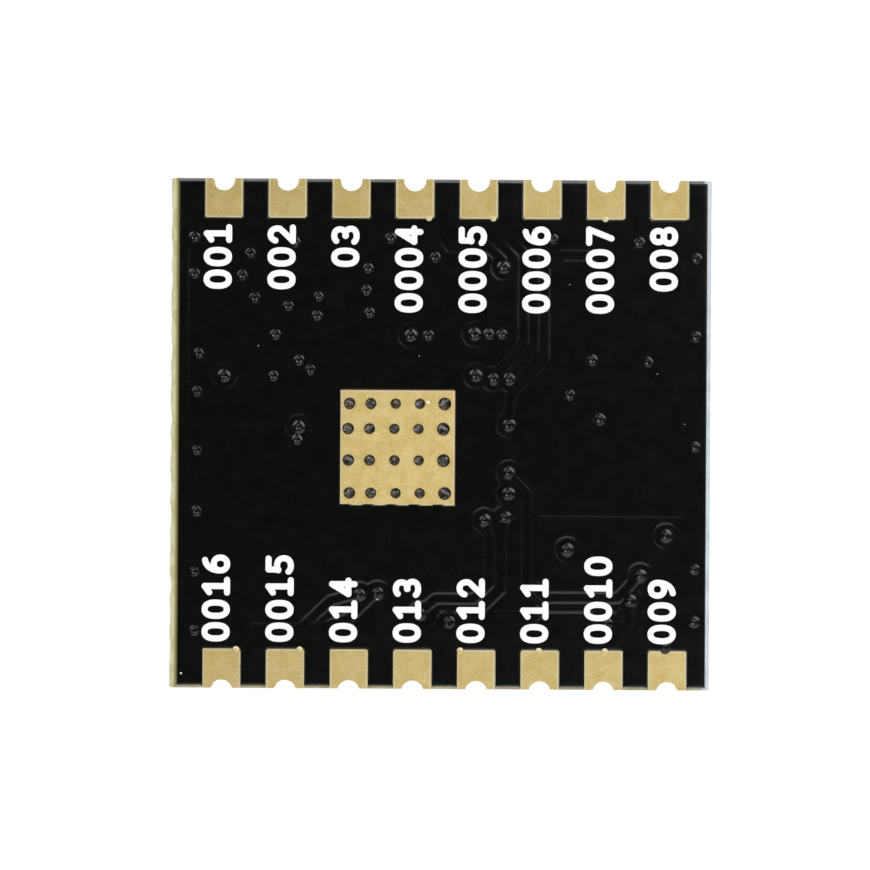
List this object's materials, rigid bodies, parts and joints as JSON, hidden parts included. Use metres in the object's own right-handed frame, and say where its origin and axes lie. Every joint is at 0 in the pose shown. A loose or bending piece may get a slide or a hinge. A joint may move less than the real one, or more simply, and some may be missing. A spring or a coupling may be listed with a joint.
{
  "type": "wifi module",
  "caption": "Castellated radio module with half-hole edge pads, a thermal pad, a folded shield can and a coaxial antenna socket.",
  "frame": {"origin": "bottom centre of the box, on the outer face of the can's lid", "axes": "+Z out of the solder face, +X along the two rows of edge pads, +Y from the lower row to the upper row"},
  "size_m": [0.017, 0.016, 0.003],
  "materials": {
    "glass_laminate": "matte",
    "copper_foil": "satin",
    "solder_mask": "gloss",
    "gold_plating": "satin",
    "can_sheet": "satin",
    "solder": "satin",
    "chip_resin": "matte",
    "tinned_lead": "satin",
    "crystal_ceramic": "matte",
    "socket_resin": "matte",
    "capacitor_ceramic": "matte",
    "resistor_ceramic": "matte",
    "inductor_ceramic": "matte"
  },
  "bodies": {
    "root": {"laminate": "glass_laminate", "pad_side_copper": "copper_foil", "pad_side_mask": "solder_mask", "part_side_copper": "copper_foil", "part_side_mask": "solder_mask", "via_barrels": "copper_foil", "thermal_pad": "gold_plating", "shield_can": "can_sheet", "can_solder": "solder", "radio_chip": "chip_resin", "radio_leads": "tinned_lead", "chip_solder": "solder", "memory_chip": "chip_resin", "memory_leads": "tinned_lead", "crystal_base": "crystal_ceramic", "crystal_lid": "tinned_lead", "socket_insulator": "socket_resin", "socket_shell": "gold_plating", "socket_pin": "gold_plating", "part_solder": "solder", "edge_pad_01": "gold_plating", "edge_pad_02": "gold_plating", "edge_pad_03": "gold_plating", "edge_pad_04": "gold_plating", "edge_pad_05": "gold_plating", "edge_pad_06": "gold_plating", "edge_pad_07": "gold_plating", "edge_pad_08": "gold_plating", "edge_pad_09": "gold_plating", "edge_pad_10": "gold_plating", "edge_pad_11": "gold_plating", "edge_pad_12": "gold_plating", "edge_pad_13": "gold_plating", "edge_pad_14": "gold_plating", "edge_pad_15": "gold_plating", "edge_pad_16": "gold_plating", "capacitor_01": "capacitor_ceramic", "capacitor_02": "capacitor_ceramic", "capacitor_03": "capacitor_ceramic", "capacitor_04": "capacitor_ceramic", "capacitor_05": "capacitor_ceramic", "capacitor_06": "capacitor_ceramic", "capacitor_07": "capacitor_ceramic", "capacitor_08": "capacitor_ceramic", "capacitor_09": "capacitor_ceramic", "capacitor_10": "capacitor_ceramic", "capacitor_11": "capacitor_ceramic", "capacitor_12": "capacitor_ceramic", "capacitor_13": "capacitor_ceramic", "resistor_01": "resistor_ceramic", "resistor_02": "resistor_ceramic", "resistor_03": "resistor_ceramic", "resistor_04": "resistor_ceramic", "inductor_01": "inductor_ceramic", "inductor_02": "inductor_ceramic", "inductor_03": "inductor_ceramic"}
  },
  "joints": []
}
